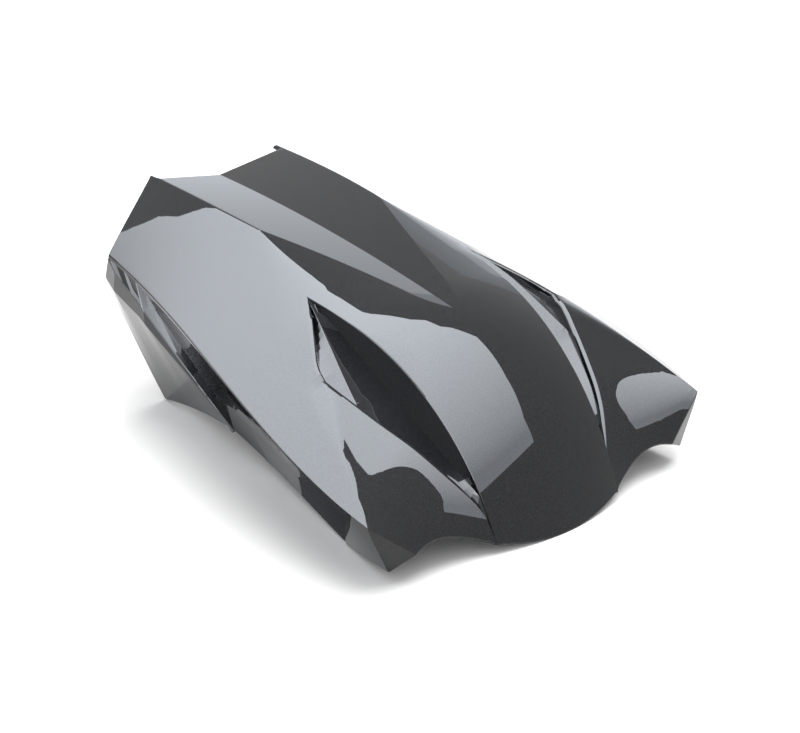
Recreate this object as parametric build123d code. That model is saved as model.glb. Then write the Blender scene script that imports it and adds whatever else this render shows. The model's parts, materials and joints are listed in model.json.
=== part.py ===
"""Seat cowl: one moulded shell that covers the pillion seat of a motorbike.

Frame: millimetres, +Z up, +Y toward the narrow two-horned tail, -Y toward the
wide lip, X across.  The shell is symmetrical about the plane X = 0 and stands
at Z = 0 on its lip, its near corners and its two tail corners.
"""
import os
from math import cos, radians, tan

from build123d import *

# Shell
WALL = 3.0

# Crown: barrel-shaped top; from the side a straight back, a round shoulder and a steep lip
CROWN_HEIGHT = 113.4        # height of the back at Y = 0
CROWN_SLOPE = 11.5          # fall of the back toward the lip, degrees
CROWN_RADIUS = 150.0        # round shoulder in side view
LIP_Y = -162.3              # lip at Z = 0
LIP_SLOPE = 62.0            # steepness of the lip, degrees
BARREL_AXIS_DEPTH = 108.0   # axis of the barrel below Z = 0
BARREL_TURN = 65.0          # turn of the barrel each way, degrees

# Flanks: sloping sides at five stations along Y, each with its half width and
# height at the widest edge, its slope in degrees, the half width of its foot
# and the belly of the lower wall
FLANK_STATIONS = [
    (175.0, 90.5, 92.0, 38.5, 76.5, 6.0),
    (85.0, 100.5, 85.5, 34.0, 78.0, 3.0),
    (0.0, 115.0, 73.0, 29.5, 82.5, 0.0),
    (-75.0, 123.5, 55.3, 31.0, 95.0, 0.0),
    (-175.0, 113.5, 31.0, 30.0, 103.0, 0.0),
]
BELLY_SHARE = 0.84          # height of the belly as a share of the widest edge's

# Tail: raked end with two horns
HORN_Y = 162.3              # tip of the horns
HORN_Z = 124.8
TAIL_WIDEST_Y = 140.0       # tail edge where the flanks are widest
TAIL_WIDEST_Z = 89.0
TAIL_WAIST_Y = 140.5        # tail edge at the belly of the lower wall
TAIL_WAIST_Z = 76.0
TAIL_FOOT_Y = 110.0         # tail corner at Z = 0
NOTCH_CENTRE_Y = 157.0      # end of the recess on the centre line
NOTCH_SIDE_Y = 153.5        # end of the recess beside the horns
HORN_HALF_GAP = 46.5        # half distance between the horns

# Recess: shallow V sunk in the back, its valley an arc in side view
VALLEY_TAIL = (175.0, 115.2)
VALLEY_MIDDLE = (40.0, 110.4)
VALLEY_TIP = (-90.0, 94.4)
RECESS_RISE = 0.19          # rise of the recess floor for each mm outward

# Spine: middle of the crown between the vents
SPINE_HALF_FRONT = 58.0     # half width at the front tip of the vents
SPINE_HALF_LIP = 44.0       # half width at the lip
VENT_FRONT_Y = -11.6        # front tip of the vents
SHOULDER_END_Y = -45.0      # nearer the lip than this, the barrel shapes the spine alone

# Wings: dished fields beside the spine, each plane X with its height half way
# along, the Y, Z and steepness of its rim and the radius of its round
WING_SLOPE = 28.5           # fall of the upper wing, degrees
WING_MIDDLE_Y = -105.0
WING_PLANES = [
    (35.0, 57.5, -157.0, 4.5, 59.0, 140.0),
    (84.0, 56.5, -147.5, 15.0, 68.0, 80.0),
    (126.0, 58.6, -144.5, 38.0, 70.0, 15.0),
]

# Vents: blind pockets between the spine and the wings, corners in plan
VENT_CORNER = (87.4, -58.0)
VENT_CORNER_RADIUS = 7.0
VENT_BULGE = (69.7, -105.5)     # outer edge, half way to the rear tip
VENT_REAR = (47.4, -145.0)
VENT_DEPTHS = [6.5, 0.6, 0.6]   # pocket floor below the three wing planes
RAMP_TIP = (59.0, -12.0, 100.5)     # ramp in the front of the pocket, through three points
RAMP_CORNER = (87.0, -57.0, 78.0)
RAMP_END = (80.0, -81.0, 70.5)

# Side grooves: lower wall stepped in under the flank edge
GROOVE_DEPTH = 6.5
GROOVE_LIP = 2.0                # edge left standing under the flank
GROOVE_TIP_Y = 102.0
GROOVE_NEAR_Y = -118.0          # end under the flank edge
GROOVE_FOOT_Y = -96.0           # end at the rim
BLADE_SHOULDER = (82.0, 68.0)   # edge of the tail blade, Y and Z
BLADE_ELBOW = (49.0, 33.0)
BLADE_FOOT = (24.0, 15.0)

# Rim: side arches, near corners, scallops and lip
ARCH_MIDDLE = (67.0, 9.0)       # tail arch half way to the blade foot, Y and Z
STEP_Z = 9.5                    # rim of the stepped-in wall behind the blade
STEP_MIDDLE = (-40.0, 4.5)
CORNER_TOP = (120.0, -142.0, 39.0)
CORNER_INNER = (94.5, -146.8, 14.9)
CORNER_TIP = (102.3, -142.8, 7.5)
SCALLOP_RISE = (60.0, 12.3)     # scallop in front view, X and Z
SCALLOP_CREST = (77.0, 17.0)
LIP_END = (44.5, 5.8)
RIM_INNER_X = 55.0              # side walls lie outside this half width
RIM_NEAR_Y = -132.0             # scallops and lip lie beyond this station

# Screw bosses and ribs under the back
BOSS_RADIUS = 6.0
BOSS_BORE_RADIUS = 2.1
BOSS_BORE_DEPTH = 16.0
BOSS_X = 32.0
BOSS_TAIL_Y = 96.0
BOSS_TAIL_FOOT_Z = 88.0
BOSS_LIP_Y = -56.0
BOSS_LIP_FOOT_Z = 70.0
RIB_THICKNESS = 2.2
RIB_SETBACK = 14.0          # lower edge of the ribs above the boss feet

# Cutters reach past the shell by these
REACH = 400.0
OVERSHOOT = 40.0
WING_OVERSHOOT = 100.0
BELOW = -40.0
ABOVE = 220.0


def polygon(points):
    return Face(Wire.make_polygon([Vector(*p) for p in points], close=True))


def in_side_view(points, x=0):
    return [(x, y, z) for y, z in points]


def mirrored(solid):
    return mirror(solid, about=Plane.YZ)


def both_sides(solid):
    return [solid, mirrored(solid)]


def bent_face(upper, slope, lower, steep, radius, inset, far_y, closing, x):
    """Face in the plane X = x under or over two side-view lines and the round between them."""
    gradient = tan(radians(slope))
    steep_gradient = tan(radians(steep))
    start = upper[1] - gradient * upper[0] - inset / cos(radians(slope))
    steep_start = lower[1] - steep_gradient * lower[0] - inset / cos(radians(steep))
    corner_y = (start - steep_start) / (steep_gradient - gradient)
    points = [
        (far_y, start + gradient * far_y),
        (corner_y, start + gradient * corner_y),
        ((BELOW - steep_start) / steep_gradient, BELOW),
    ]
    profile = FilletPolyline(*in_side_view(points, x), radius=radius - inset)
    rest = Polyline(*in_side_view([points[-1], *closing, points[0]], x))
    return make_face([*profile.edges(), *rest.edges()])


def barrel(inset):
    """Volume under the crown."""
    far_y = VALLEY_TAIL[0]
    face = bent_face((0, CROWN_HEIGHT), CROWN_SLOPE, (LIP_Y, 0), LIP_SLOPE, CROWN_RADIUS,
                     inset, far_y, [(far_y, BELOW)], 0)
    half = revolve(face, Axis((0, 0, -BARREL_AXIS_DEPTH), (0, 1, 0)), BARREL_TURN)
    return half + mirrored(half)


def moved_right(before, corner, after, distance):
    """Corner of a flat outline after the sides before and after it move to their right-hand side."""
    sides = [(corner - before).normalized(), (after - corner).normalized()]
    first, second = [Vector(side.Y, -side.X) for side in sides]
    return corner + (first + second) * (distance / (1 + first.dot(second)))


def flank_section(y, half, height, slope, foot, belly, inset):
    """Section across the flanks and lower walls with its sides moved inward."""
    belly_z = BELLY_SHARE * height
    belly_x = foot + (half - foot) * BELLY_SHARE + belly
    apex = Vector(0, height + tan(radians(slope)) * half)
    edge = Vector(half, height)
    waist = Vector(belly_x, belly_z)
    base = waist + Vector(foot - belly_x, -belly_z) * ((belly_z - BELOW) / belly_z)
    deeper = base + (base - waist)
    twin = Vector(-half, height)
    corners = [moved_right(*three, inset)
               for three in ((twin, apex, edge), (apex, edge, waist), (edge, waist, base),
                             (waist, base, deeper))]
    right = [(corner.X, y, corner.Y) for corner in corners]
    left = [(-corner.X, y, corner.Y) for corner in reversed(corners[1:])]
    return polygon([*right, *left])


def flanks(inset):
    """Volume between the flanks and the lower walls."""
    return loft([flank_section(*station, inset) for station in FLANK_STATIONS])


def recess(growth):
    """V-shaped cutter along the valley."""
    ends = in_side_view([(y, z - growth) for y, z in (VALLEY_TAIL, VALLEY_MIDDLE, VALLEY_TIP)])
    roof = in_side_view([(VALLEY_TIP[0], ABOVE), (VALLEY_TAIL[0], ABOVE)])
    face = make_face([ThreePointArc(*ends), *Polyline(ends[-1], *roof, ends[0]).edges()])
    half = extrude(face, amount=REACH / 2, dir=(1, 0, RECESS_RISE))
    return half + mirrored(half)


def spine_half(y):
    """Half width of the spine at a station."""
    share = (VENT_FRONT_Y - y) / (VENT_FRONT_Y - LIP_Y)
    return SPINE_HALF_FRONT + share * (SPINE_HALF_LIP - SPINE_HALF_FRONT)


def outboard(growth, far_y):
    """Everything right of the spine, from a station to past the lip."""
    near_y = LIP_Y - OVERSHOOT
    outline = [(spine_half(near_y) - growth, near_y), (REACH, near_y),
               (REACH, far_y), (spine_half(far_y) - growth, far_y)]
    return extrude(polygon([(x, y, BELOW) for x, y in outline]), amount=REACH, dir=(0, 0, 1))


def above_wing(growths):
    """Space above the right-hand wing, grown downward at each wing plane."""
    far_y = VENT_FRONT_Y + OVERSHOOT
    near_y = LIP_Y - WING_OVERSHOOT
    closing = [(near_y, BELOW), (near_y, ABOVE), (far_y, ABOVE)]
    sections = []
    for growth, (x, height, rim_y, rim_z, steep, radius) in zip(growths, WING_PLANES):
        sections.append(bent_face((WING_MIDDLE_Y, height), WING_SLOPE, (rim_y, rim_z), steep,
                                  radius, growth, far_y, closing, x))
    return loft(sections)


def above_ramp(growth):
    """Space above the ramp in the right-hand vent."""
    tip, corner, end = Vector(*RAMP_TIP), Vector(*RAMP_CORNER), Vector(*RAMP_END)
    normal = (corner - tip).cross(end - tip)
    if normal.Z < 0:
        normal = -normal
    plane = Plane(origin=tip - normal.normalized() * growth, z_dir=normal)
    return extrude(plane * Rectangle(REACH, REACH), amount=REACH)


def vent(growth):
    """Pocket of the right-hand vent."""
    front = (spine_half(VENT_FRONT_Y), VENT_FRONT_Y)
    outline = make_face([Line(front, VENT_CORNER),
                         ThreePointArc(VENT_CORNER, VENT_BULGE, VENT_REAR),
                         Line(VENT_REAR, front)])
    outline = fillet(outline.vertices().sort_by(Axis.X)[-1], VENT_CORNER_RADIUS)
    if growth:
        outline = offset(outline, amount=growth)
    prism = extrude(Pos(0, 0, BELOW) * outline, amount=REACH) & outboard(growth, VENT_FRONT_Y + OVERSHOOT)
    floor = above_wing([depth + growth for depth in VENT_DEPTHS])
    return (prism & floor) + (prism & above_ramp(growth))


def widest_height(y):
    """Height of the widest edge of the flanks at a station."""
    stations = sorted((station[0], station[2]) for station in FLANK_STATIONS)
    for (y0, z0), (y1, z1) in zip(stations, stations[1:]):
        if y <= y1:
            return z0 + (z1 - z0) * (y - y0) / (y1 - y0)
    return stations[-1][1]


def groove(growth):
    """Cutter that steps in the right-hand lower wall under the flank edge."""
    stations = [GROOVE_TIP_Y, *[s[0] for s in FLANK_STATIONS if GROOVE_NEAR_Y < s[0] < GROOVE_TIP_Y],
                GROOVE_NEAR_Y]
    edge = [(y, widest_height(y) - GROOVE_LIP) for y in stations]
    rest = [(GROOVE_FOOT_Y, 0), (GROOVE_FOOT_Y, BELOW), (BLADE_FOOT[0], BELOW), BLADE_FOOT, BLADE_ELBOW,
            BLADE_SHOULDER]
    corners = [Vector(*point) for point in (*edge, *rest)]
    grown = [tuple(moved_right(before, corner, after, growth))
             for before, corner, after in zip(corners[-1:] + corners, corners, corners[1:] + corners[:1])]
    upper, lower = grown[:len(edge)], [*grown[len(edge) - 1:], grown[0]]
    outline = make_face([Spline(*upper), *Polyline(*lower).edges()])
    prism = extrude(Plane.YZ * outline, amount=REACH)
    return prism - flanks(GROOVE_DEPTH + growth)


def beyond_corner(growth):
    """Cutter past the end face of the right-hand near corner."""
    top, inner, tip = Vector(*CORNER_TOP), Vector(*CORNER_INNER), Vector(*CORNER_TIP)
    normal = (top - tip).cross(inner - tip)
    if normal.Y > 0:
        normal = -normal
    plane = Plane(origin=tip - normal.normalized() * growth, z_dir=normal)
    return extrude(plane * Rectangle(WING_OVERSHOOT, WING_OVERSHOOT), amount=WING_OVERSHOOT)


def body(inset):
    """Solid form of the cowl with every surface moved inward."""
    side = outboard(inset, VENT_FRONT_Y + OVERSHOOT)
    form = flanks(inset) & (barrel(inset) + both_sides(outboard(inset, SHOULDER_END_Y)))
    form -= recess(inset)
    form -= both_sides(above_wing([inset] * len(WING_PLANES)) & side)
    form -= both_sides(vent(inset))
    form -= both_sides(beyond_corner(inset))
    return form - both_sides(groove(inset))


def beyond_tail():
    """Cutters past the raked tail edge and between the horns."""
    rake = (HORN_Y - TAIL_WIDEST_Y) / (HORN_Z - TAIL_WIDEST_Z)
    foot_rake = (TAIL_WAIST_Y - TAIL_FOOT_Y) / TAIL_WAIST_Z
    outline = [(HORN_Y + rake * (ABOVE - HORN_Z), ABOVE), (TAIL_WIDEST_Y, TAIL_WIDEST_Z),
               (TAIL_WAIST_Y, TAIL_WAIST_Z), (TAIL_FOOT_Y + foot_rake * BELOW, BELOW),
               (REACH, BELOW), (REACH, ABOVE)]
    end = extrude(polygon(in_side_view(outline)), amount=REACH, dir=(1, 0, 0), both=True)
    notch = [(-HORN_HALF_GAP, NOTCH_SIDE_Y), (0, NOTCH_CENTRE_Y), (HORN_HALF_GAP, NOTCH_SIDE_Y),
             (HORN_HALF_GAP, REACH), (-HORN_HALF_GAP, REACH)]
    return [end, extrude(polygon([(x, y, TAIL_WIDEST_Z) for x, y in notch]), amount=REACH, dir=(0, 0, 1))]


def below_sides():
    """Cutter below the rim of the right-hand wall."""
    tail = (TAIL_FOOT_Y, 0)
    step = (BLADE_FOOT[0], STEP_Z)
    foot = (GROOVE_FOOT_Y, 0)
    slope = (CORNER_TIP[2] - foot[1]) / (CORNER_TIP[1] - foot[0])
    near = (LIP_Y, foot[1] + slope * (LIP_Y - foot[0]))
    rest = Polyline(foot, near, (LIP_Y, BELOW), (TAIL_FOOT_Y, BELOW), tail)
    outline = make_face([Spline(tail, ARCH_MIDDLE, BLADE_FOOT), Line(BLADE_FOOT, step),
                         Spline(step, STEP_MIDDLE, foot), *rest.edges()])
    return extrude(Plane.YZ.offset(RIM_INNER_X) * outline, amount=REACH)


def below_lip():
    """Cutter below the lip and the two scallops."""
    right = [LIP_END, SCALLOP_RISE, SCALLOP_CREST, (CORNER_INNER[0], CORNER_INNER[2]),
             (CORNER_TIP[0], CORNER_TIP[2])]
    left = [(-x, z) for x, z in right]
    inner, tip = Vector(*right[-2]), Vector(*right[-1])
    past = tip + (tip - inner)
    rest = Polyline(right[-1], (past.X, past.Y), (past.X, BELOW), (-past.X, BELOW), (-past.X, past.Y), left[-1])
    outline = make_face([ThreePointArc(left[0], (0, 0), right[0]), Spline(*right), Spline(*left),
                         *rest.edges()])
    return extrude(Plane.XZ.offset(-RIM_NEAR_Y) * outline, amount=REACH)


def trim(form):
    """Cut the rim all round and set the foot points on Z = 0."""
    form -= beyond_tail()
    form -= both_sides(below_sides())
    form -= below_lip()
    ground = Pos(0, 0, BELOW / 2) * Box(2 * REACH, 2 * REACH, -BELOW)
    return form - ground


def boss_places():
    """Foot of each screw boss."""
    return [(x, y, z) for y, z in ((BOSS_TAIL_Y, BOSS_TAIL_FOOT_Z), (BOSS_LIP_Y, BOSS_LIP_FOOT_Z))
            for x in (-BOSS_X, BOSS_X)]


def upright(place, radius, height):
    return Pos(*place) * Cylinder(radius, height, align=(Align.CENTER, Align.CENTER, Align.MIN))


def rib(x):
    """Lengthwise rib from a lip boss to a tail boss, reaching up into the back."""
    outline = [(BOSS_LIP_Y, BOSS_LIP_FOOT_Z + RIB_SETBACK), (BOSS_TAIL_Y, BOSS_TAIL_FOOT_Z + RIB_SETBACK),
               (BOSS_TAIL_Y, ABOVE), (BOSS_LIP_Y, ABOVE)]
    return extrude(polygon(in_side_view(outline, x)), amount=RIB_THICKNESS / 2, dir=(1, 0, 0), both=True)


shell = trim(body(0) - body(WALL))
mid_wall = body(WALL / 2)
shell += [upright(place, BOSS_RADIUS, ABOVE) & mid_wall for place in boss_places()]
shell += [rib(x) & mid_wall for x in (-BOSS_X, BOSS_X)]
shell -= [upright(place, BOSS_BORE_RADIUS, BOSS_BORE_DEPTH) for place in boss_places()]

os.makedirs("parts", exist_ok=True)
export_step(shell, "parts/cowl_shell.step")
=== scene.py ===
"""Seat cowl in gloss black metallic paint, on a plain pale floor in a studio."""
import json
from math import cos, radians, sin, sqrt, tan

import bmesh
import bpy
import numpy as np
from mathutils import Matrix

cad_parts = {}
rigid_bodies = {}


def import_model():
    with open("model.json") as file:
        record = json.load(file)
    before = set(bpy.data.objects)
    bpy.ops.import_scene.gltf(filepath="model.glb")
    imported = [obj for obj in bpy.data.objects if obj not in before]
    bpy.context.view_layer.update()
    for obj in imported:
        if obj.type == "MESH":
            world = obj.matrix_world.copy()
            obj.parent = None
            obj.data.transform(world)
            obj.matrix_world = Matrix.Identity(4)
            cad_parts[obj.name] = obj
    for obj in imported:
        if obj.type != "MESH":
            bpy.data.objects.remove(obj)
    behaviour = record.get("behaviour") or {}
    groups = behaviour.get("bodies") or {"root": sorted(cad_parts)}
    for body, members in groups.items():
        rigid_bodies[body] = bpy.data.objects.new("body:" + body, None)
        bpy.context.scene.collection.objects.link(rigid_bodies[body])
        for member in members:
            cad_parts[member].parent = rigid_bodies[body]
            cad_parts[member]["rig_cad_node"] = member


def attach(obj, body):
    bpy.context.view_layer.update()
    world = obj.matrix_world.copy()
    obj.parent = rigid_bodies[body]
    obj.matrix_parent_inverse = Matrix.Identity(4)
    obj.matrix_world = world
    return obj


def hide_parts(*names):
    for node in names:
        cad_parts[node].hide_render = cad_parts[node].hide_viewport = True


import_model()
for thing in list(bpy.data.objects):
    if "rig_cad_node" not in thing and thing.type != "EMPTY":
        bpy.data.objects.remove(thing)
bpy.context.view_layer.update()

MM = 0.001

# Shell, in millimetres: +Y toward the two-horned tail, -Y toward the lip, X across
WALL = 3.0
CROWN_HEIGHT = 113.4        # height of the back at Y = 0
CROWN_SLOPE = 11.5          # fall of the back toward the lip, degrees
CROWN_RADIUS = 150.0        # round bend in side view
LIP_Y = -162.3              # lip at Z = 0
LIP_SLOPE = 62.0            # steepness of the lip, degrees
BARREL_AXIS_DEPTH = 108.0   # axis of the barrel-shaped back below Z = 0

# Flanks at five stations: Y, half width, height, slope, half width of the foot, belly
FLANK_STATIONS = [
    (175.0, 90.5, 92.0, 39.2, 76.5, 6.0),
    (85.0, 100.5, 85.5, 34.0, 78.0, 3.0),
    (0.0, 115.0, 73.0, 29.5, 82.5, 0.0),
    (-75.0, 123.5, 55.3, 31.0, 95.0, 0.0),
    (-175.0, 113.5, 31.0, 30.0, 103.0, 0.0),
]
BELLY_SHARE = 0.84          # height of the belly as a share of the widest edge's

# Horns: above a slanting line on the flank, through these X, Y points, the face leans back
HORN_LINE = [(80.0, 142.0), (52.0, 94.0)]
HORN_LEAN = 0.08            # fall for each mm past the line
HORN_LEAN_ROUND = 6.0       # length over which the lean sets in

# Shoulder: round between the crown and the flanks, its size at stations along Y
SHOULDER_Y = [-60.0, -12.0, 40.0, 60.0]
SHOULDER_ROUND = [0.2, 5.0, 1.0, 0.2]

# Tail: horn tips, raked edge down to the tail's foot, and the notch between the horns
HORN_Y = 162.3
HORN_Z = 124.8
TAIL_WIDEST_Y = 140.0
TAIL_WIDEST_Z = 89.0
TAIL_WAIST = (140.5, 76.0)  # Y and Z
TAIL_FOOT_Y = 110.0
NOTCH_CENTRE_Y = 157.0
NOTCH_SIDE_Y = 153.5
HORN_HALF_GAP = 46.5

# Recess: its valley as Y and Z, and the rise of its floor for each mm outward
VALLEY = [(175.0, 115.2), (40.0, 110.4), (-90.0, 94.4)]
RECESS_RISE = 0.19

# Spine and vents: outer edge as X and Y, pocket beside the spine as Y and Z, ramp as X, Y and Z
SPINE_HALF_FRONT = 58.0
SPINE_HALF_LIP = 44.0
VENT_FRONT_Y = -11.6
VENT_REAR_Y = -145.0
VENT_EDGE = [(58.0, -11.6), (78.8, -43.5), (84.6, -53.0), (86.7, -59.0), (86.2, -64.5), (80.2, -81.2),
             (69.7, -105.5), (59.5, -125.8), (45.6, -145.0)]
POCKET = [(-11.6, 101.4), (-54.0, 79.5), (-86.0, 60.5), (-115.0, 44.0), (-145.0, 27.0)]
RAMP = [(58.4, -11.6, 101.2), (65.0, -32.0, 95.0), (71.0, -53.0, 83.4), (77.3, -81.0, 66.2)]
RAMP_FOOT_Y = -74.0
RAMP_END_Y = -81.0

# Inside the vent's outer edge: a narrow facet, and a small step below it, at stations along Y
EDGE_FACET_Y = [-145.0, -132.0, -25.0, -11.6]
EDGE_FACET = [0.0, 1.0, 1.0, 0.0]
EDGE_FACET_WIDTH = 2.4
EDGE_FACET_DROP = 0.95
EDGE_STEP_Y = [-145.0, -120.0, -81.0, -57.0, -25.0, -11.6]
EDGE_STEP = [1.2, 2.6, 3.2, 4.0, 3.2, 0.4]
EDGE_STEP_LEAN = 0.25

# Wings: round toward the flank at stations along Y, and the bend down to the rim at three half
# widths: X, height of the upper wing, Y and Z at the rim, steepness there, radius of the bend
WING_ROUND_Y = [-125.0, -100.0, -84.0, -62.0]
WING_ROUND = [0.2, 1.2, 3.5, 7.0]
WING_SLOPE = 28.5           # fall of the upper wing, degrees
WING_MIDDLE_Y = -105.0
WING_PLANES = [
    (35.0, 58.5, -157.0, 4.5, 59.0, 140.0),
    (84.0, 56.5, -147.5, 15.0, 68.0, 80.0),
    (126.0, 60.0, -144.5, 38.0, 70.0, 15.0),
]

# Side grooves, on the lower wall, with points as Y and Z
GROOVE_DEPTH_Y = [60.0, 87.0, 102.0]
GROOVE_DEPTH = [4.5, 4.2, 0.0]
GROOVE_LIP = 2.0            # edge left standing under the flank
GROOVE_TIP_Y = 102.0
GROOVE_NEAR_Y = -128.0      # end under the flank edge
GROOVE_FOOT_Y = -96.0       # end at the rim
GROOVE_CREASE = [(0.0, 44.0), (-60.0, 36.0), (-115.5, 26.5)]    # foot of the sloping roof
FOOT_SHARE = 0.1            # share of the groove's depth at both ends of its rim
RIM_SHARE = 0.35            # share of the groove's depth between them
FOOT_FADE_Y = -10.0         # rim rises from here to the blade's foot

# Tail blades: the edge, how far it stands out at stations along Y, and the slit above it
BLADE_CREASE = [(93.0, 74.7), (61.0, 48.8), (43.0, 33.0)]
BLADE_FOOT = (24.0, 15.0)
BLADE_EDGE_Y = [24.0, 61.0, 125.0, 140.0]
BLADE_EDGE = [0.0, 1.5, 2.5, 0.0]
SLIT = [(91.0, 79.5), (81.0, 69.0), (64.0, 54.2), (44.5, 34.8)]

# Rim: tail arch, stepped-in wall, near corners and scallops
ARCH_MIDDLE = (67.0, 9.0)       # Y and Z
STEP_Z = 9.5
STEP_MIDDLE = (-40.0, 4.5)      # Y and Z
CORNER_Y = -142.0
CORNER_INNER = (94.5, 14.9)     # X and Z
CORNER_TIP = (-142.8, 7.5)      # Y and Z
SCALLOP = [(44.5, 5.8), (60.0, 12.3), (77.0, 17.0), (94.5, 14.9)]   # X and Z

# Underside
BOSS_RADIUS = 6.0
BOSS_BORE_RADIUS = 2.1
BOSS_BORE_DEPTH = 16.0
BOSS_SIDES = 48
BOSS_X = 32.0
BOSS_FEET = [(96.0, 88.0), (-56.0, 70.0)]   # Y and Z
RIB_THICKNESS = 2.2
RIB_SETBACK = 14.0          # lower edge of the ribs above the boss feet
ROOT_SHARE = 0.6            # how far bosses and ribs reach into the back's wall
DOWNWARD = -0.9             # faces whose normals are below this look at the ground
UNDERSIDE_SHARP_ANGLE = 40.0

# Rounds on the outer edges: one radius, smaller where the faces beside an edge are narrow
EDGE_RADIUS = 2.2
EDGE_SEGMENTS = 3
EDGE_ANGLE_LEAST = 8.0
EDGE_ROOM = 0.4
SHARP_ANGLE = 13.0
NORMAL_WEIGHT = 50

# Gaps that are closed where patches meet, and edges too short to keep
MIRROR_GAP = 0.02
SEAM_GAP = 0.03
SHORT_EDGE = 0.01

# Stations, rows and columns of the patches
RIDGE_STATIONS = 18
CREASE_STATIONS = 14
VENT_FRONT_STATIONS = 14
RAMP_FOOT_STATIONS = 3
VENT_REAR_STATIONS = 19
LIP_STATIONS = 7
FLANK_COLUMNS = 18
CROWN_COLUMNS = 20
RECESS_COLUMNS = 12
NOTCH_ROWS = 4
VENT_WALL_COLUMNS = 6
VENT_FLOOR_COLUMNS = 8
RAMP_COLUMNS = 4
SCALLOP_COLUMNS = 20
WALL_COLUMNS = 8
BLADE_FACET_COLUMNS = 2
ROOF_COLUMNS = 4
ROOF_ROWS = 6               # rows of the groove's roof that end at the slit
GROOVE_COLUMNS = 2 * WALL_COLUMNS - ROOF_ROWS
CORNER_COLUMNS = 6
RIB_ROWS = 24
RIB_COLUMNS = 4

# Ranges in which surfaces cross, and how often one is halved to find the place
HALVINGS = 50
RIDGE_X = (0, 90)
CREASE_X = (20, 100)
WING_CREASE_X = (60, 135)
TAIL_EDGE_Y = (120, 175)
SPLIT_Y = (100, 0)
WING_START_Y = (-50, -75)
RECESS_TIP_Y = (-120, 0)
RIM_Y = (-100, -175)
LIP_END_Y = (-140, LIP_Y)
LIP_RIM_Y = (-120, LIP_Y - 5)


def through(points):
    """Smooth curve through a few (place, value) points."""
    places, values = zip(*points)
    return np.poly1d(np.polyfit(places, values, len(points) - 1))


def curve(points):
    """Curve through (x, y) points as x at a given y, straight where they are in line."""
    xs, ys = np.array(points)[::-1].T
    slopes = np.gradient(xs, ys)

    def at(y):
        i = int(np.clip(np.searchsorted(ys, y) - 1, 0, len(ys) - 2))
        span = ys[i + 1] - ys[i]
        t = (y - ys[i]) / span
        return ((1 + 2 * t) * (1 - t) ** 2 * xs[i] + t * (1 - t) ** 2 * span * slopes[i]
                + t * t * (3 - 2 * t) * xs[i + 1] + t * t * (t - 1) * span * slopes[i + 1])
    return at


def crossing(gap, low, high):
    """Value between low and high where a gap changes sign."""
    starts_open = gap(low) > 0
    for _ in range(HALVINGS):
        middle = (low + high) / 2
        if (gap(middle) > 0) == starts_open:
            low = middle
        else:
            high = middle
    return (low + high) / 2


def bent(y, upper, slope, lower, steep, radius):
    """Height of a side-view line that falls gently, turns through a round and then drops."""
    gradient, drop = tan(radians(slope)), tan(radians(steep))
    start = upper[1] - gradient * upper[0]
    drop_start = lower[1] - drop * lower[0]
    corner = (start - drop_start) / (drop - gradient)
    reach = radius * tan(radians(steep - slope) / 2)
    upper_y = corner + reach * cos(radians(slope))
    lower_y = corner - reach * cos(radians(steep))
    if y >= upper_y:
        return start + gradient * y
    if y <= lower_y:
        return drop_start + drop * y
    centre_y = upper_y + radius * sin(radians(slope))
    centre_z = start + gradient * upper_y - radius * cos(radians(slope))
    return centre_z + sqrt(radius ** 2 - (y - centre_y) ** 2)


def crown(x, y):
    side = bent(y, (0, CROWN_HEIGHT), CROWN_SLOPE, (LIP_Y, 0), LIP_SLOPE, CROWN_RADIUS)
    return sqrt((side + BARREL_AXIS_DEPTH) ** 2 - x ** 2) - BARREL_AXIS_DEPTH


half_width, edge_height, flank_slope, foot_half, belly = [
    through([(station[0], station[k]) for station in FLANK_STATIONS]) for k in range(1, 6)]
valley = through(VALLEY)
pocket_height = through(POCKET)
vent_edge_x = curve(VENT_EDGE)
wing_values = [through([(plane[0], plane[k]) for plane in WING_PLANES]) for k in range(1, 6)]
scallop_height = through(SCALLOP)


def flank(x, y):
    (x0, y0), (x1, y1) = HORN_LINE
    past = ((y - y0) * (x0 - x1) - (x - x0) * (y0 - y1)) / np.hypot(x0 - x1, y0 - y1)
    lean = HORN_LEAN * HORN_LEAN_ROUND * np.logaddexp(0, past / HORN_LEAN_ROUND)
    return edge_height(y) + tan(radians(flank_slope(y))) * (half_width(y) - x) - lean


def rounded(one, other, size):
    """Lower of two heights, with a round where they cross."""
    low, high = sorted((one, other))
    return low - max(size - (high - low), 0) ** 2 / (4 * size)


def shoulder(x, y):
    """Crown and flank with a round where they meet."""
    return rounded(crown(x, y), flank(x, y), np.interp(y, SHOULDER_Y, SHOULDER_ROUND))


def flank_top(x, y):
    return shoulder(x, y) if y > SHOULDER_Y[0] else wing_top(x, y)


def recess(x, y):
    return valley(y) + RECESS_RISE * x


def wing(x, y):
    height, rim_y, rim_z, steep, radius = [value(x) for value in wing_values]
    return bent(y, (WING_MIDDLE_Y, height), WING_SLOPE, (rim_y, rim_z), steep, radius)


def wing_top(x, y):
    """Wing and flank with a round where they meet."""
    return rounded(wing(x, y), flank(x, y), np.interp(y, WING_ROUND_Y, WING_ROUND))


def spine_half(y):
    share = (VENT_FRONT_Y - y) / (VENT_FRONT_Y - LIP_Y)
    return SPINE_HALF_FRONT + share * (SPINE_HALF_LIP - SPINE_HALF_FRONT)


def wall(y, z):
    """Half width of the lower wall."""
    height, foot = edge_height(y), foot_half(y)
    waist_z = BELLY_SHARE * height
    waist = foot + (half_width(y) - foot) * BELLY_SHARE + belly(y)
    return float(np.interp(z, [0, waist_z, height], [foot, waist, half_width(y)]))


def on(surface):
    """Sets a point's height from a surface."""
    return lambda p: (p[0], p[1], surface(p[0], p[1]))


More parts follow.
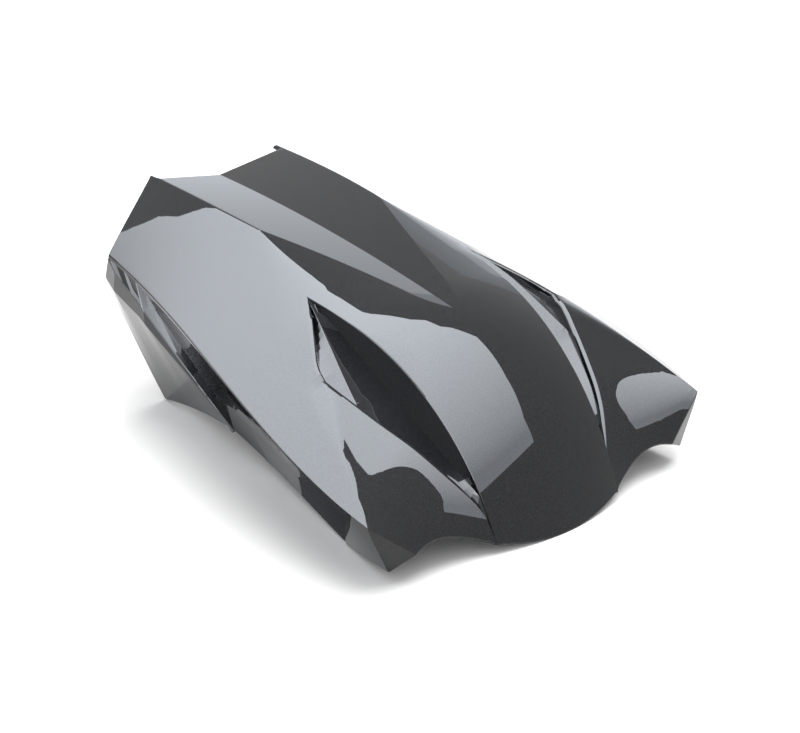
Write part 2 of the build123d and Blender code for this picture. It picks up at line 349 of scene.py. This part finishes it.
def groove_depth(y):
    """Depth of the side groove, which runs in from its tip."""
    return float(np.interp(y, GROOVE_DEPTH_Y, GROOVE_DEPTH))


def on_wall(share):
    """Sets a point's half width from the lower wall, stepped in by a share of the groove's depth."""
    return lambda p: (wall(p[1], p[2]) - share * groove_depth(p[1]), p[1], p[2])


def line(points, count):
    """Points spread evenly along a polyline."""
    points = np.array(points, float)
    steps = np.r_[0, np.cumsum(np.linalg.norm(np.diff(points, axis=0), axis=1))]
    return np.array([[np.interp(s, steps, points[:, k]) for k in range(points.shape[1])]
                     for s in np.linspace(0, steps[-1], count + 1)])


def patch(inner, outer, columns, start=None, end=None, settle=None):
    """Grid between two edges, and between its two ends where they aren't straight."""
    inner, outer = np.array(inner, float), np.array(outer, float)
    start = line([inner[0], outer[0]], columns) if start is None else np.array(start, float)
    end = line([inner[-1], outer[-1]], columns) if end is None else np.array(end, float)
    rows = len(inner) - 1
    bpy.ops.mesh.primitive_grid_add(x_subdivisions=columns, y_subdivisions=rows, size=1)
    mesh = bpy.context.object.data
    for vertex in mesh.vertices:
        column = round((vertex.co.x + 0.5) * columns)
        row = round((vertex.co.y + 0.5) * rows)
        u, v = column / columns, row / rows
        ruled = (1 - u) * inner[row] + u * outer[row]
        ends = (1 - v) * start[column] + v * end[column]
        corners = ((1 - v) * ((1 - u) * start[0] + u * start[-1])
                   + v * ((1 - u) * end[0] + u * end[-1]))
        point = ruled + ends - corners
        if settle and 0 < column < columns and 0 < row < rows:
            point = settle(point)
        vertex.co = [float(value) * MM for value in point]
    return bpy.context.object


# Stations along Y that neighbouring patches share
horn_x = crossing(lambda x: flank(x, HORN_Y) - recess(x, HORN_Y), *RIDGE_X)
horn = (horn_x, HORN_Y, recess(horn_x, HORN_Y))
tip_y = crossing(lambda y: crown(0, y) - valley(y), *RECESS_TIP_Y)


def recess_edge(y):
    x = crossing(lambda x: shoulder(x, y) - recess(x, y), *RIDGE_X)
    return (x, y, recess(x, y))


def split_gap(y):
    x = recess_edge(y)[0]
    return crown(x, y) - flank(x, y)


split_y = crossing(split_gap, *SPLIT_Y)
wing_start_y = crossing(lambda y: flank(vent_edge_x(y), y) - wing(vent_edge_x(y), y), *WING_START_Y)
ridge_ys = np.linspace(HORN_Y, split_y, RIDGE_STATIONS)
crease_ys = np.linspace(split_y, VENT_FRONT_Y, CREASE_STATIONS)
vent_ys = np.r_[np.linspace(VENT_FRONT_Y, wing_start_y, VENT_FRONT_STATIONS), tip_y,
                np.linspace(RAMP_FOOT_Y, RAMP_END_Y, RAMP_FOOT_STATIONS),
                np.linspace(RAMP_END_Y, VENT_REAR_Y, VENT_REAR_STATIONS)[1:]]
lip_end_y = crossing(lambda y: crown(spine_half(y), y) - SCALLOP[0][1], *LIP_END_Y)
lip_ys = np.linspace(VENT_REAR_Y, lip_end_y, LIP_STATIONS)
wing_row = list(vent_ys).index(wing_start_y)
tip_row = list(vent_ys).index(tip_y)
ramp_row = list(vent_ys).index(RAMP_END_Y)


def crease(y):
    x = crossing(lambda x: crown(x, y) - flank(x, y), *CREASE_X)
    return (x, y, shoulder(x, y))


def spine_edge(y):
    x = spine_half(y)
    return (x, y, shoulder(x, y))


def vent_edge(y):
    x = vent_edge_x(y)
    return (x, y, flank_top(x, y))


def edge_facet(y):
    """Inner edge of the narrow facet along the vent's outer edge."""
    share = np.interp(y, EDGE_FACET_Y, EDGE_FACET)
    x = vent_edge_x(y) - EDGE_FACET_WIDTH * share
    return (x, y, flank_top(x, y) - EDGE_FACET_DROP * share)


def edge_foot(y):
    """Foot of the small step inside that facet."""
    x, y, z = edge_facet(y)
    step = np.interp(y, EDGE_STEP_Y, EDGE_STEP)
    return (x - EDGE_STEP_LEAN * step, y, z - step)


def wing_crease(y):
    x = crossing(lambda x: flank(x, y) - wing(x, y), *WING_CREASE_X)
    return (x, y, wing_top(x, y))


def widest(y):
    return (half_width(y), y, edge_height(y))


def under_edge(y):
    return on_wall(0)((0, y, edge_height(y) - GROOVE_LIP))


def in_wall(points, share=0):
    """Points of the lower wall from Y and Z, stepped in by a share of the groove's depth or one each."""
    shares = np.broadcast_to(share, len(points))
    return [on_wall(part)((0, y, z)) for (y, z), part in zip(points, shares)]


def on_blade(points):
    """Points of the lower wall, moved out as the blade's edge stands out."""
    return [(x + np.interp(y, BLADE_EDGE_Y, BLADE_EDGE), y, z) for x, y, z in in_wall(points)]


def drawn_in(points, tail_y):
    """Y of each point, with the stretch toward the tail drawn in to end at tail_y."""
    share = (tail_y - split_y) / (HORN_Y - split_y)
    return [split_y + (y - split_y) * (share if y > split_y else 1) for _, y, _ in points]


# Long edges, from the tail to the lip
ridge = [horn] + [recess_edge(y) for y in ridge_ys[1:]]
crease_edge = [ridge[-1]] + [crease(y) for y in crease_ys[1:]]
vent_tip = spine_edge(VENT_FRONT_Y)
crease_edge[-1] = vent_tip
spine = [spine_edge(y) for y in vent_ys]
outer_vent = [vent_tip] + [vent_edge(y) for y in vent_ys[1:]]
lip_side = [spine_edge(y) for y in lip_ys]
lip_foot = [(x, y, min(wing(x, y), z)) for x, y, z in lip_side]
outer_vent[-1] = lip_foot[0]
corner_ys = np.linspace(wing_start_y, CORNER_Y, len(vent_ys) - wing_row + len(lip_ys) - 1)
wing_edge = [outer_vent[wing_row]] + [wing_crease(y) for y in corner_ys[1:-1]] + [widest(CORNER_Y)]

flank_inner = ridge + crease_edge[1:] + outer_vent[1:wing_row + 1] + wing_edge[1:]
widest_ys = drawn_in(flank_inner, TAIL_WIDEST_Y)
tip_at = int(np.argmin(np.abs(np.array(widest_ys) - GROOVE_TIP_Y)))
near_at = int(np.argmin(np.abs(np.array(widest_ys) - GROOVE_NEAR_Y)))
widest_ys[tip_at] = GROOVE_TIP_Y
widest_edge = [widest(y) for y in widest_ys]


def tail_edge(x):
    """Point of the raked tail edge on the flank."""
    rake = (HORN_Y - TAIL_WIDEST_Y) / (HORN_Z - TAIL_WIDEST_Z)
    y = crossing(lambda y: TAIL_WIDEST_Y + rake * (flank(x, y) - TAIL_WIDEST_Z) - y, *TAIL_EDGE_Y)
    return (x, y, flank(x, y))


raked = [tail_edge(x) for x in np.linspace(horn[0], widest_edge[0][0], FLANK_COLUMNS + 1)]
raked[0] = horn
raked[-1] = widest_edge[0]
pieces = [patch(flank_inner, widest_edge, FLANK_COLUMNS, start=raked, settle=on(flank_top))]

# Recess, from the notch between the horns to its tip
recess_outer = (ridge + [recess_edge(y) for y in [*crease_ys[1:], *vent_ys[1:tip_row]]]
                + [(0, tip_y, valley(tip_y))])
recess_middle = [(0, y, valley(y)) for y in drawn_in(recess_outer, NOTCH_CENTRE_Y)]
notch = [(x, y, recess(x, y)) for x, y in line([(0, NOTCH_CENTRE_Y), (HORN_HALF_GAP, NOTCH_SIDE_Y)],
                                               RECESS_COLUMNS - 1)] + [horn]
pieces.append(patch(recess_middle[:NOTCH_ROWS + 1], recess_outer[:NOTCH_ROWS + 1], RECESS_COLUMNS,
                    start=notch, settle=on(recess)))
pieces.append(patch(recess_middle[NOTCH_ROWS:], recess_outer[NOTCH_ROWS:], RECESS_COLUMNS,
                    settle=on(recess)))

# Crown and spine, down to the lip
crown_outer = crease_edge + spine[1:] + lip_side[1:]
crown_inner = (recess_outer[len(ridge) - 1:] + [(0, y, crown(0, y)) for y in vent_ys[tip_row + 1:]]
               + [(0, y, crown(0, y)) for y in np.linspace(VENT_REAR_Y, LIP_Y, len(lip_ys))[1:]])


def lip_point(x):
    z = SCALLOP[0][1] * (x / SCALLOP[0][0]) ** 2
    y = crossing(lambda y: crown(x, y) - z, *LIP_RIM_Y)
    return (x, y, z)


lip = [lip_point(x) for x in np.linspace(0, lip_side[-1][0], CROWN_COLUMNS + 1)]
crown_inner[-1] = lip[0]
lip[-1] = lip_side[-1]
pieces.append(patch(crown_inner, crown_outer, CROWN_COLUMNS, end=lip, settle=on(shoulder)))

# Vents: wall under the spine, floor, ramp, and the step and facet inside the outer edge
pocket = [vent_tip] + [(x, y, pocket_height(y)) for x, y, _ in spine[1:-1]] + [lip_foot[0]]
facet_edge = [vent_tip] + [edge_facet(y) for y in vent_ys[1:-1]] + [lip_foot[0]]
step_foot = [vent_tip] + [edge_foot(y) for y in vent_ys[1:-1]] + [lip_foot[0]]
ramp_x = through([(y, x) for x, y, _ in RAMP])
ramp_z = through([(y, z) for _, y, z in RAMP])
ramp = [vent_tip] + [(ramp_x(y), y, ramp_z(y)) for y in vent_ys[1:ramp_row]] + [step_foot[ramp_row]]
pieces.append(patch(spine + lip_side[1:], pocket + lip_foot[1:], VENT_WALL_COLUMNS))
pieces.append(patch(pocket, ramp + step_foot[ramp_row + 1:], VENT_FLOOR_COLUMNS))
pieces.append(patch(ramp, step_foot[:ramp_row + 1], RAMP_COLUMNS))
pieces.append(patch(step_foot, facet_edge, 1))
pieces.append(patch(facet_edge, outer_vent, 1))


# Wings, down to the scallops and the near corners
def rim_point(x, z):
    return (x, crossing(lambda y: wing(x, y) - z, *RIM_Y), z)


scallop_xs = np.linspace(lip_side[-1][0], CORNER_INNER[0], SCALLOP_COLUMNS + 1)
corner_line = line([CORNER_INNER, (widest_edge[-1][0], widest_edge[-1][2])], GROOVE_COLUMNS + 1)
rim = ([lip_foot[-1]] + [rim_point(x, scallop_height(x)) for x in scallop_xs[1:]]
       + [rim_point(x, z) for x, z in corner_line[1:-1]] + [widest_edge[-1]])
wing_inner = outer_vent[wing_row:] + lip_foot[1:]
pieces.append(patch(wing_inner, wing_edge, len(rim) - 1, end=rim, settle=on(wing_top)))

# Lower walls: tail blade, groove under the flank edge and near corner
edge_under = [under_edge(y) for y in widest_ys]
groove_tip = edge_under[tip_at][1:]
groove_near = edge_under[near_at][1:]
pieces.append(patch(widest_edge, edge_under, 1))
slit_line = line([groove_tip, *SLIT], WALL_COLUMNS)
slit_foot = line([SLIT[-1], BLADE_FOOT], WALL_COLUMNS)
slit = in_wall(slit_line, 1)
facet_top = edge_under[:tip_at] + slit
blade_crease = on_blade(line([edge_under[0][1:], *BLADE_CREASE], len(facet_top) - 1))
blade_end = on_blade(line([BLADE_CREASE[-1], BLADE_FOOT], WALL_COLUMNS))
arch = through([(TAIL_FOOT_Y, 0), ARCH_MIDDLE, BLADE_FOOT])
arch_rim = in_wall([(y, arch(y)) for y in np.linspace(TAIL_FOOT_Y, BLADE_FOOT[0], len(facet_top))])
tail_line = line([edge_under[0][1:], TAIL_WAIST, (TAIL_FOOT_Y, 0)], WALL_COLUMNS)
step_in = line([blade_end[0], slit[-1]], BLADE_FACET_COLUMNS)
pieces.append(patch(facet_top, blade_crease, BLADE_FACET_COLUMNS, end=step_in[::-1]))
pieces.append(patch(blade_crease, arch_rim, WALL_COLUMNS, start=in_wall(tail_line), end=blade_end))
groove_foot = in_wall(slit_foot, np.linspace(1, FOOT_SHARE, WALL_COLUMNS + 1))
pieces.append(patch(blade_end, groove_foot, BLADE_FACET_COLUMNS, start=step_in))
groove_crease = in_wall(line([slit_line[ROOF_ROWS], *GROOVE_CREASE], near_at - tip_at - ROOF_ROWS), 1)
roof_edge = slit[:ROOF_ROWS] + groove_crease
pieces.append(patch(edge_under[tip_at:near_at + 1], roof_edge, ROOF_COLUMNS))
step_rim = through([(BLADE_FOOT[0], STEP_Z), STEP_MIDDLE, (GROOVE_FOOT_Y, 0)])
step_ys = np.linspace(BLADE_FOOT[0], GROOVE_FOOT_Y, len(groove_crease))
rim_shares = np.interp(step_ys, [GROOVE_FOOT_Y, FOOT_FADE_Y, BLADE_FOOT[0]],
                       [FOOT_SHARE, RIM_SHARE, FOOT_SHARE])
rim_lift = np.interp(step_ys, [FOOT_FADE_Y, BLADE_FOOT[0]], [0, BLADE_FOOT[1] - STEP_Z])
inner_rim = in_wall([(y, step_rim(y) + lift) for y, lift in zip(step_ys, rim_lift)], rim_shares)
near_line = line([groove_near, (GROOVE_FOOT_Y, 0)], GROOVE_COLUMNS)
near_foot = in_wall(line([GROOVE_CREASE[-1], (GROOVE_FOOT_Y, 0)], GROOVE_COLUMNS),
                    np.linspace(1, FOOT_SHARE, GROOVE_COLUMNS + 1))
pieces.append(patch(groove_crease, inner_rim, GROOVE_COLUMNS, start=slit[ROOF_ROWS:] + groove_foot[1:],
                    end=near_foot))
pieces.append(patch(in_wall(near_line), near_foot, ROOF_COLUMNS))
corner_edge = line([edge_under[-1][1:], CORNER_TIP], GROOVE_COLUMNS)
near_rim = in_wall(line([(GROOVE_FOOT_Y, 0), CORNER_TIP], len(widest_ys) - 1 - near_at))
pieces.append(patch(edge_under[near_at:], near_rim, GROOVE_COLUMNS, start=in_wall(near_line),
                    end=in_wall(corner_edge), settle=on_wall(0)))
corner_outer = [widest_edge[-1], *in_wall(corner_edge)]
pieces.append(patch(rim[:SCALLOP_COLUMNS - 1:-1], corner_outer, CORNER_COLUMNS))

for piece in pieces:
    piece.select_set(True)
bpy.context.view_layer.objects.active = pieces[0]
bpy.ops.object.join()
shell = bpy.context.object
shell.name = "painted_shell"
shell.data.name = "painted_shell"


def finish_with(piece, kind, **settings):
    """Adds a modifier, sets it and applies it."""
    modifier = piece.modifiers.new(kind.lower(), kind)
    for name, value in settings.items():
        setattr(modifier, name, value)
    bpy.ops.object.modifier_apply(modifier=modifier.name)


def weigh_edges(piece):
    """Gives each outer edge the width of its round as a share of the radius."""
    shape = bmesh.new()
    shape.from_mesh(piece.data)
    weights = shape.edges.layers.float.new("bevel_weight_edge")
    room = {vertex: min(edge.calc_length() for edge in vertex.link_edges) for vertex in shape.verts}
    for edge in shape.edges:
        angle = edge.calc_face_angle_signed(0)
        outside = all(face.material_index == 0 for face in edge.link_faces)
        if outside and angle > radians(EDGE_ANGLE_LEAST):
            widths = [face.calc_area() / edge.calc_length() for face in edge.link_faces]
            space = min(widths + [room[vertex] for vertex in edge.verts])
            edge[weights] = min(tan(angle / 2), EDGE_ROOM * space / (EDGE_RADIUS * MM), 1)
    shape.to_mesh(piece.data)
    shape.free()


finish_with(shell, "MIRROR", merge_threshold=MIRROR_GAP * MM)
bpy.ops.object.mode_set(mode="EDIT")
bpy.ops.mesh.select_all(action="SELECT")
bpy.ops.mesh.remove_doubles(threshold=SEAM_GAP * MM)
bpy.ops.mesh.dissolve_degenerate(threshold=SHORT_EDGE * MM)
bpy.ops.mesh.select_all(action="SELECT")
bpy.ops.mesh.normals_make_consistent(inside=False)
bpy.ops.object.mode_set(mode="OBJECT")


def linear(hex_colour):
    """Linear RGBA of an sRGB hex value."""
    channels = [int(hex_colour[k:k + 2], 16) / 255 for k in (1, 3, 5)]
    return [c / 12.92 if c <= 0.04045 else ((c + 0.055) / 1.055) ** 2.4 for c in channels] + [1.0]


def node(tree, kind, inputs=None, **settings):
    """Adds a node with its settings; an input takes a value or another node's socket."""
    made = tree.nodes.new(kind)
    for name, value in settings.items():
        setattr(made, name, value)
    for name, value in (inputs or {}).items():
        if isinstance(value, bpy.types.NodeSocket):
            tree.links.new(value, made.inputs[name])
        else:
            made.inputs[name].default_value = value
    return made


def new_material(name):
    material = bpy.data.materials.new(name)
    material.use_nodes = True
    material.node_tree.nodes.clear()
    return material, material.node_tree


FLAKE_SIZE = 0.45       # metallic flakes, drawn coarser than the real 0.05 mm so that they show
GRAIN_SIZE = 0.9        # spark-eroded grain of the bare moulding
GRAIN_HEIGHT = 0.1


def painted_abs():
    """ABS sprayed black with metallic flakes and clear-coated: deep black with crisp
    reflections, and a fine silver grain where the light catches the flakes."""
    material, tree = new_material("black_metallic_clearcoat")
    place = node(tree, "ShaderNodeTexCoord")
    flakes = node(tree, "ShaderNodeTexVoronoi", {
        "Vector": place.outputs["Object"], "Scale": 1 / (FLAKE_SIZE * MM)})
    tone = node(tree, "ShaderNodeSeparateColor", {"Color": flakes.outputs["Color"]})
    colour = node(tree, "ShaderNodeValToRGB", {"Fac": tone.outputs["Red"]})
    colour.color_ramp.elements[0].color = linear("#08080a")
    colour.color_ramp.elements[1].color = linear("#1c1d1f")
    paint = node(tree, "ShaderNodeBsdfPrincipled", {
        "Base Color": colour.outputs["Color"], "Metallic": 0.1, "Roughness": 0.4,
        "Specular IOR Level": 0.0, "Coat Weight": 1.0, "Coat Roughness": 0.012, "Coat IOR": 1.4})
    node(tree, "ShaderNodeOutputMaterial", {"Surface": paint.outputs["BSDF"]})
    return material


def bare_abs():
    """Underside of the moulding: unpainted black ABS with a fine spark-eroded grain, satin."""
    material, tree = new_material("moulded_black_abs")
    place = node(tree, "ShaderNodeTexCoord")
    grain = node(tree, "ShaderNodeTexNoise", {
        "Vector": place.outputs["Object"], "Scale": 1 / (GRAIN_SIZE * MM), "Detail": 3.0})
    colour = node(tree, "ShaderNodeValToRGB", {"Fac": grain.outputs["Fac"]})
    colour.color_ramp.elements[0].color = linear("#1b1b1c")
    colour.color_ramp.elements[1].color = linear("#2a2a2b")
    bump = node(tree, "ShaderNodeBump", {
        "Height": grain.outputs["Fac"], "Strength": 0.25, "Distance": GRAIN_HEIGHT * MM})
    plastic = node(tree, "ShaderNodeBsdfPrincipled", {
        "Base Color": colour.outputs["Color"], "Roughness": 0.55, "Normal": bump.outputs["Normal"]})
    node(tree, "ShaderNodeOutputMaterial", {"Surface": plastic.outputs["BSDF"]})
    return material


paint = painted_abs()
underside = bare_abs()
shell.data.materials.append(paint)
shell.data.materials.append(underside)
finish_with(shell, "SOLIDIFY", thickness=WALL * MM, offset=-1, material_offset=1, material_offset_rim=0)
weigh_edges(shell)
finish_with(shell, "BEVEL", width=EDGE_RADIUS * MM, segments=EDGE_SEGMENTS, limit_method="WEIGHT",
            use_clamp_overlap=False)
bpy.ops.object.shade_smooth_by_angle(angle=radians(SHARP_ANGLE))
finish_with(shell, "WEIGHTED_NORMAL", weight=NORMAL_WEIGHT, keep_sharp=True)


def under_back(x, y):
    """Height inside the back's wall, where bosses and ribs end."""
    return min(shoulder(x, y), recess(x, y)) - ROOT_SHARE * WALL


def screw_boss(x, y, foot):
    """Round boss with a blind bore, its top shaped into the back."""
    bpy.ops.mesh.primitive_cylinder_add(vertices=BOSS_SIDES, radius=BOSS_RADIUS * MM,
                                        depth=2 * BOSS_BORE_DEPTH * MM)
    boss = bpy.context.object
    for vertex in boss.data.vertices:
        at_x, at_y = x + vertex.co.x / MM, y + vertex.co.y / MM
        top = vertex.co.z > 0
        vertex.co = [at_x * MM, at_y * MM, (under_back(abs(at_x), at_y) if top else foot) * MM]
    bpy.ops.object.mode_set(mode="EDIT")
    bpy.ops.mesh.select_mode(type="FACE")
    bpy.ops.mesh.select_all(action="DESELECT")
    bpy.ops.object.mode_set(mode="OBJECT")
    for face in boss.data.polygons:
        face.select = face.normal.z < DOWNWARD
    bpy.ops.object.mode_set(mode="EDIT")
    bpy.ops.mesh.inset(thickness=(BOSS_RADIUS - BOSS_BORE_RADIUS) * MM)
    bpy.ops.mesh.extrude_region_move(TRANSFORM_OT_translate={"value": (0, 0, BOSS_BORE_DEPTH * MM)})
    bpy.ops.object.mode_set(mode="OBJECT")
    return boss


def rib(x):
    """Lengthwise rib from a lip boss to a tail boss."""
    (tail_y, tail_z), (lip_y, lip_z) = BOSS_FEET
    bottom = line([(x, tail_y, tail_z + RIB_SETBACK), (x, lip_y, lip_z + RIB_SETBACK)], RIB_ROWS)
    made = patch([(x, y, under_back(abs(x), y)) for _, y, _ in bottom], bottom, RIB_COLUMNS)
    finish_with(made, "SOLIDIFY", thickness=RIB_THICKNESS * MM, offset=0)
    return made


inside = []
for side in (-1, 1):
    inside += [screw_boss(side * BOSS_X, y, foot) for y, foot in BOSS_FEET]
    inside.append(rib(side * BOSS_X))
bpy.ops.object.select_all(action="DESELECT")
for piece in inside:
    piece.select_set(True)
bpy.ops.object.join()
bosses = bpy.context.object
bosses.name = "bosses_and_ribs"
bosses.data.name = "bosses_and_ribs"
bosses.data.materials.append(underside)
bpy.ops.object.shade_smooth_by_angle(angle=radians(UNDERSIDE_SHARP_ANGLE))
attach(bosses, "root")
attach(shell, "root")
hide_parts("cowl_shell")


# Studio, in metres: floor, the panel above, and cards that only reflections show
FLOOR_HALF = 4.0
FLOOR_CORNERS = [(-1, -1), (1, -1), (1, 1), (-1, 1)]
PANEL_HEIGHT = 1.3
PANEL = [(-2.2, -4.84), (-1.18, -4.84), (1.62, -1.9), (1.28, -1.3), (1.04, -0.62), (0.92, -0.08),
         (0.56, 0.3), (0.38, 0.66), (0.1, 0.86), (-0.32, 1.38), (-0.385, 1.56), (-0.42, 1.74),
         (-0.495, 1.93), (-0.56, 2.05), (-0.7, 2.6), (-2.2, 2.8)]
PANEL_GLOW = ((-0.1, 0.0, PANEL_HEIGHT), 0.5, 15.5, 2.2, 5.5)

# Upright cards: two ends in plan, lower and upper edge, brightness
CARDS = {
    "back_card": ((0.6, 3.0), (4.5, 0.6), 0.0, 1.13, 2.0),
    "high_card": ((0.6, 3.0), (4.5, 0.6), 1.13, 1.7, 1.4),
    "left_card": ((-2.2, -1.5), (-2.2, 2.4), 0.55, PANEL_HEIGHT, 16.0),
    "low_card": ((-2.2, -1.5), (-2.2, 3.6), 0.1, 0.55, 6.0),
}

# Dark sheet just above the floor, beside the groove: a painted shadow of the floor there, seen only in
# the groove's reflection
PAINTED_SHADOW_HEIGHT = 0.0008
PAINTED_SHADOW_OUTLINE = [(-0.086, -0.094), (-0.15, -0.094), (-0.15, 0.06), (-0.112, 0.05), (-0.088, -0.05)]
PAINTED_SHADOW_GLOW = 0.12

# White surroundings: strength as light, and where they are seen or reflected
WORLD_LIGHT = 0.88
WORLD_SEEN = 1.0

KEY_PLACE = (0.6, 0.3, 2.1)
KEY_SIZE = 2.2
KEY_POWER = 70

# Camera: angle below level and turn from +Y in degrees, lens and sensor in millimetres
CAMERA_PLACE = (-0.5984, -0.7434, 0.4873)
CAMERA_DOWN = 25.187
CAMERA_TURN = 39.652
CAMERA_LENS = 81
CAMERA_SENSOR = 36


def stage_plane(name, corners, material):
    bpy.ops.mesh.primitive_circle_add(vertices=len(corners), fill_type="NGON")
    plane = bpy.context.object
    plane.name = name
    for vertex, corner in zip(plane.data.vertices, corners):
        vertex.co = corner
    plane.data.materials.append(material)
    return plane


def pale_floor():
    material, tree = new_material("pale_floor")
    matt = node(tree, "ShaderNodeBsdfDiffuse", {"Color": linear("#f7f7f7")})
    node(tree, "ShaderNodeOutputMaterial", {"Surface": matt.outputs["BSDF"]})
    return material


def softbox(strength):
    """Diffuser lit from behind, at one brightness or with a brighter middle given as
    (middle, near distance, its brightness, far distance, its brightness)."""
    material, tree = new_material("softbox")
    if isinstance(strength, tuple):
        middle, near, bright, far, dim = strength
        place = node(tree, "ShaderNodeTexCoord")
        away = node(tree, "ShaderNodeVectorMath", {0: place.outputs["Object"], 1: middle},
                    operation="DISTANCE")
        fall = node(tree, "ShaderNodeMapRange", {
            "Value": away.outputs["Value"], "From Min": near, "From Max": far,
            "To Min": bright, "To Max": dim})
        strength = fall.outputs["Result"]
    glow = node(tree, "ShaderNodeEmission", {"Color": linear("#eef4fb"), "Strength": strength})
    node(tree, "ShaderNodeOutputMaterial", {"Surface": glow.outputs["Emission"]})
    return material


stage_plane("floor", [(x * FLOOR_HALF, y * FLOOR_HALF, 0) for x, y in FLOOR_CORNERS], pale_floor())
reflected = [stage_plane("reflector", [(x, y, PANEL_HEIGHT) for x, y in PANEL], softbox(PANEL_GLOW))]
for name, (one, other, bottom, top, glow) in CARDS.items():
    corners = [(*one, bottom), (*other, bottom), (*other, top), (*one, top)]
    reflected.append(stage_plane(name, corners, softbox(glow)))
# dim sheet that only reflections show: painted shadow of the floor beside the groove
reflected.append(stage_plane("painted_floor_shadow", [(x, y, PAINTED_SHADOW_HEIGHT) for x, y in PAINTED_SHADOW_OUTLINE], softbox(PAINTED_SHADOW_GLOW)))
for plane in reflected:
    plane.visible_camera = False
    plane.visible_diffuse = False
    plane.visible_shadow = False

world = bpy.data.worlds.new("studio")
world.use_nodes = True
bpy.context.scene.world = world
sky = world.node_tree
sky.nodes.clear()
rays = node(sky, "ShaderNodeLightPath")
seen = rays.outputs["Is Camera Ray"]
for kind in ("Is Glossy Ray", "Is Transmission Ray"):
    either = node(sky, "ShaderNodeMath", {0: seen, 1: rays.outputs[kind]}, operation="MAXIMUM")
    seen = either.outputs["Value"]
strength = node(sky, "ShaderNodeMix", {0: seen, 2: WORLD_LIGHT, 3: WORLD_SEEN})
backdrop = node(sky, "ShaderNodeBackground", {
    "Color": linear("#ffffff"), "Strength": strength.outputs[0]})
node(sky, "ShaderNodeOutputWorld", {"Surface": backdrop.outputs["Background"]})

bpy.ops.object.light_add(type="AREA", location=KEY_PLACE)
key = bpy.context.object
key.name = "key"
key.rotation_euler = (-key.location).to_track_quat("-Z", "Y").to_euler()
key.data.size = KEY_SIZE
key.data.energy = KEY_POWER
key.visible_glossy = False

bpy.ops.object.camera_add(location=CAMERA_PLACE,
                          rotation=(radians(90 - CAMERA_DOWN), 0, radians(-CAMERA_TURN)))
camera = bpy.context.object
camera.data.lens = CAMERA_LENS
camera.data.sensor_width = CAMERA_SENSOR
bpy.context.scene.camera = camera
bpy.context.scene.view_settings.view_transform = "Standard"
